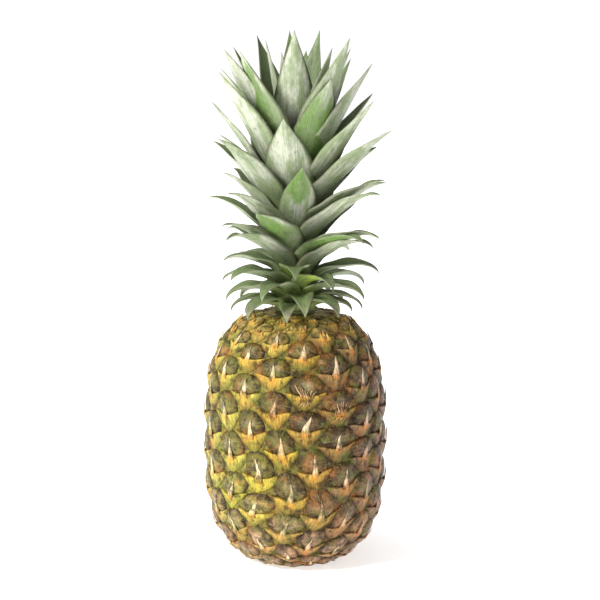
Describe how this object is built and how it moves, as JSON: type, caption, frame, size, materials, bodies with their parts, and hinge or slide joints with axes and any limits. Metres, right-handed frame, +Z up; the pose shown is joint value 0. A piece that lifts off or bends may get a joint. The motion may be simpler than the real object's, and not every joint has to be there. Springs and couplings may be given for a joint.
{
  "type": "pineapple",
  "caption": "Whole fresh pineapple standing on its flat base: barrel-shaped fruit covered in raised eyes with pointed bracts, and a tall crown of stiff pointed leaves.",
  "frame": {"origin": "middle of the flat underside, on the cut face of the stalk, on the surface that the fruit stands on", "axes": "+Z up along the fruit's axis towards the crown; -Y is the side seen in the picture"},
  "size_m": [0.1267, 0.1315, 0.3637],
  "materials": {
    "rind": "waxy olive and golden eyes with dry papery bracts",
    "leaf": "matt grey-green with a pale bloom on the outer face",
    "cut_stalk": "dry fibrous cut face"
  },
  "bodies": {
    "root": {"fruit": "rind", "crown": "leaf", "cut_stalk": "cut_stalk"}
  },
  "joints": []
}
